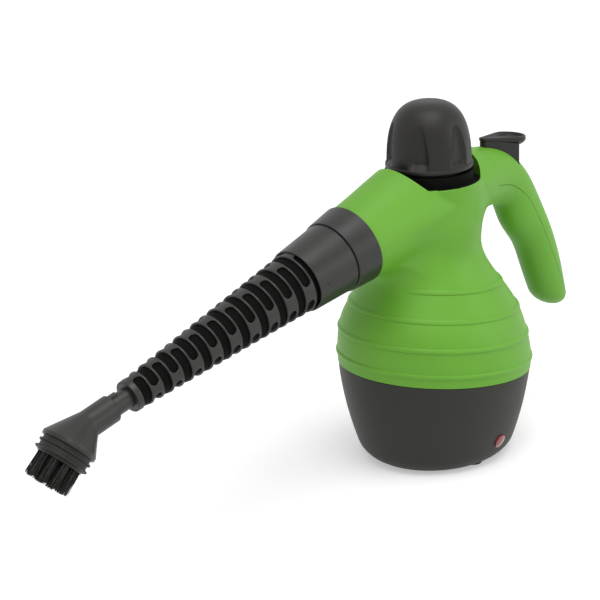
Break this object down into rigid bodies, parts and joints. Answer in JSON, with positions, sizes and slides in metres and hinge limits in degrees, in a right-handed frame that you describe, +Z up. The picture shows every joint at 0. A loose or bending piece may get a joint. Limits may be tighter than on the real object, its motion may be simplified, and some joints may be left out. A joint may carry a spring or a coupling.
{
  "type": "handheld steam cleaner",
  "caption": "Pear-shaped handheld steam cleaner with screw safety cap, open handle, thumb button, slotted cone nozzle and a round brush.",
  "frame": {"origin": "centre of the flat base, on the surface that the cleaner stands on", "axes": "+Z up, nozzle towards -X, handle towards +X, +Y across, with Y = 0 the plane of symmetry of the shell"},
  "size_m": [0.4642, 0.1269, 0.245],
  "materials": {
    "green_shell": "glossy moulded ABS, apple green",
    "dark_base": "fine-textured moulded polypropylene, charcoal",
    "black_plastic": "satin moulded plastic, black",
    "nozzle_plastic": "satin heat-proof plastic, black",
    "rubber_black": "matt moulded rubber",
    "seal_silicone": "moulded silicone, brick red",
    "gasket_silicone": "moulded silicone, grey white",
    "lens_red": "polished clear polycarbonate, ruby red",
    "lamp_glass": "clear glass",
    "boiler_aluminium": "as-cast aluminium",
    "steel": "zinc-plated steel",
    "heater_steel": "annealed tube steel",
    "brass": "turned brass",
    "spring_steel": "drawn stainless wire",
    "terminal_plastic": "natural polyamide",
    "hose_silicone": "translucent silicone hose",
    "bristle_nylon": "extruded nylon filament, black"
  },
  "bodies": {
    "root": {"base_cup": "dark_base", "body_shell": "green_shell", "handle_cover": "green_shell", "foot_pads": "rubber_black", "base_screws": "steel", "cord_gland": "rubber_black", "indicator_lens": "lens_red", "indicator_lamp": "lamp_glass", "boiler_lower": "boiler_aluminium", "boiler_upper": "boiler_aluminium", "boiler_gasket": "gasket_silicone", "boiler_bolts": "steel", "heating_element": "heater_steel", "thermostat": "steel", "thermal_fuse": "terminal_plastic", "terminal_block": "terminal_plastic", "filler_neck": "brass", "neck_trim_ring": "black_plastic", "valve_block": "brass", "valve_bonnet": "brass", "lever_pin": "steel", "button_pin": "steel", "button_spring": "spring_steel", "steam_hose": "hose_silicone", "spout_tube": "nozzle_plastic", "spout_seal": "seal_silicone", "spout_collar": "nozzle_plastic"},
    "cap_riser": {"cap_seal": "seal_silicone"},
    "cap": {"cap_dome": "black_plastic", "cap_plug": "black_plastic", "relief_keeper": "brass"},
    "relief": {"relief_piston": "brass", "relief_spring": "spring_steel"},
    "button": {"steam_button": "black_plastic"},
    "lever": {"valve_lever": "terminal_plastic"},
    "stem": {"valve_stem": "brass", "valve_spring": "spring_steel"},
    "nozzle": {"nozzle_sleeve": "nozzle_plastic", "nozzle_cone": "nozzle_plastic", "nozzle_core": "nozzle_plastic", "nozzle_tip": "nozzle_plastic"},
    "brush": {"brush_body": "nozzle_plastic", "brush_fins": "rubber_black", "brush_bristles": "bristle_nylon"}
  },
  "joints": [
    {"name": "cap_lift", "type": "slide", "parent": "root", "child": "cap_riser", "axis": [0, 0, 1], "range_m": [0, 0.0101]},
    {"name": "cap_turn", "type": "hinge", "parent": "cap_riser", "child": "cap", "pos_m": [-0.0028, 0, 0.1965], "axis": [0, 0, 1], "range_deg": [0, 900]},
    {"name": "relief_lift", "type": "slide", "parent": "cap", "child": "relief", "axis": [0, 0, 1], "range_m": [0, 0.0015], "stiffness_N_per_m": 2000, "springref_m": -0.002, "deforming": ["relief_spring"]},
    {"name": "button_press", "type": "hinge", "parent": "root", "child": "button", "pos_m": [0.054, 0, 0.19], "axis": [0, 1, 0], "range_deg": [0, 8], "stiffness_Nm_per_rad": 1.2, "springref_deg": -6.88},
    {"name": "lever_rock", "type": "hinge", "parent": "root", "child": "lever", "pos_m": [0.046, 0, 0.17685], "axis": [0, 1, 0], "range_deg": [0, 6], "deforming": ["button_spring"]},
    {"name": "stem_lift", "type": "slide", "parent": "root", "child": "stem", "axis": [0, 0, 1], "range_m": [0, 0.0028], "deforming": ["valve_spring"]},
    {"name": "nozzle_twist", "type": "hinge", "parent": "root", "child": "nozzle", "pos_m": [-0.0127, 0, 0.1803], "axis": [-0.9681, 0, -0.2504], "range_deg": [0, 45]},
    {"name": "brush_pull", "type": "slide", "parent": "nozzle", "child": "brush", "axis": [-0.9681, 0, -0.2504], "range_m": [0, 0.02]}
  ],
  "couplings": [
    {"joint": "cap_lift", "follows": "cap_turn", "m_per_rad": 0.00063662},
    {"joint": "lever_rock", "follows": "button_press", "ratio": 0.69},
    {"joint": "stem_lift", "follows": "button_press", "m_per_rad": 0.0184}
  ]
}
